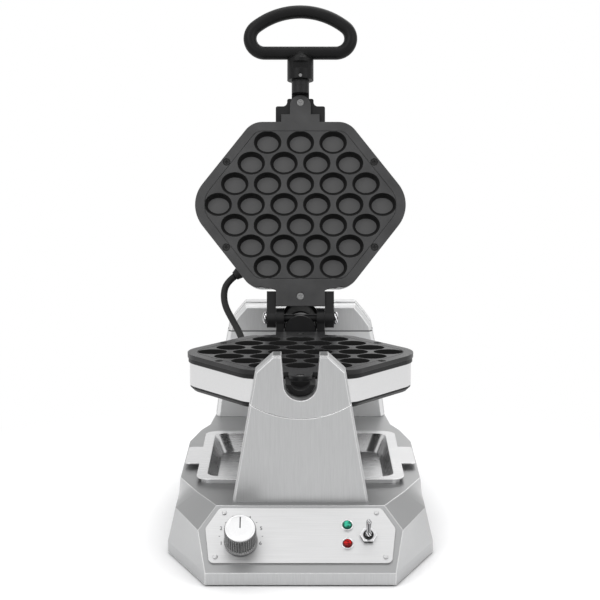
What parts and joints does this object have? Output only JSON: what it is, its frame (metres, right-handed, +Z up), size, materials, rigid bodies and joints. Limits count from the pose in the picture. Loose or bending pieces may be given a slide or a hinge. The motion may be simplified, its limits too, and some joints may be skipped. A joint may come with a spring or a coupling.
{
  "type": "rotary bubble waffle maker",
  "caption": "Table-top rotary bubble waffle maker: hinged hexagonal pocket plates on a turning shaft between a notched yoke and a rear tower, over a drip tray, with dial and toggle.",
  "frame": {"origin": "centre of the bounding box on the table", "axes": "+X right, +Y to the rear, +Z up, with the lid open as pictured"},
  "size_m": [0.243, 0.4314, 0.4972],
  "materials": {
    "satin_metal": "satin silver",
    "brushed_steel": "brushed",
    "chrome": "polished",
    "coated_cast": "non-stick coating",
    "cast_dark": "black paint",
    "handle_plastic": "matte",
    "dark_plastic": "matte",
    "rubber": "matte",
    "bronze": "turned",
    "green_lens": "gloss",
    "red_lens": "gloss",
    "turned_aluminium": "turned",
    "element_steel": "dull"
  },
  "bodies": {
    "base": {"base_housing": "satin_metal", "bottom_cover": "dark_plastic", "rubber_feet": "rubber", "control_panel": "brushed_steel", "panel_rivets": "chrome", "lamp_bezels": "chrome", "switch_body": "dark_plastic", "switch_nut": "chrome", "thermostat_body": "dark_plastic", "terminal_block": "dark_plastic", "inlet_gland": "rubber", "yoke_cap": "satin_metal", "yoke_post": "satin_metal", "tower_front": "satin_metal", "tower_rear": "satin_metal", "tower_screws": "chrome", "bearing_housing": "cast_dark", "bearing_bush": "bronze", "green_lens": "green_lens", "red_lens": "red_lens"},
    "dial": {"dial_knob": "turned_aluminium", "dial_shaft": "chrome"},
    "toggle": {"toggle_lever": "chrome"},
    "tray": {"drip_tray": "brushed_steel"},
    "head": {"turning_shaft": "chrome", "shaft_collar": "chrome", "hinge_bracket": "cast_dark", "hinge_pin": "chrome", "pin_caps": "chrome", "lid_cable": "rubber", "lower_plate": "coated_cast", "lower_frame": "cast_dark", "lower_band": "brushed_steel", "lower_cover": "cast_dark", "lower_element": "element_steel", "lower_gland": "rubber", "lower_screws": "dark_plastic", "lower_tab_screws": "chrome", "front_journal": "cast_dark"},
    "lid": {"upper_plate": "coated_cast", "upper_frame": "cast_dark", "upper_band": "brushed_steel", "upper_cover": "cast_dark", "upper_element": "element_steel", "upper_gland": "rubber", "upper_screws": "dark_plastic", "upper_tab_screws": "chrome", "lid_arms": "cast_dark", "lid_bracket": "cast_dark", "handle_stem": "cast_dark", "handle_grip": "handle_plastic", "handle_screw": "chrome"}
  },
  "joints": [
    {"name": "head_turn", "type": "hinge", "parent": "base", "child": "head", "pos_m": [0, -0.00433, 0.1658], "axis": [0, 1, 0], "range_deg": [0, 90]},
    {"name": "lid_hinge", "type": "hinge", "parent": "head", "child": "lid", "pos_m": [0, 0.11247, 0.1781], "axis": [1, 0, 0], "range_deg": [0, 105.6], "deforming": ["lid_cable"]},
    {"name": "dial_turn", "type": "hinge", "parent": "base", "child": "dial", "pos_m": [-0.052, -0.19489, 0.03989], "axis": [0, -0.6947, 0.7193], "range_deg": [-150, 150]},
    {"name": "switch_throw", "type": "hinge", "parent": "base", "child": "toggle", "pos_m": [0.0593, -0.18739, 0.04004], "axis": [1, 0, 0], "range_deg": [0, 28]},
    {"name": "tray_lift", "type": "slide", "parent": "base", "child": "tray", "axis": [0, 0, -1], "range_m": [-0.03, 0]}
  ]
}
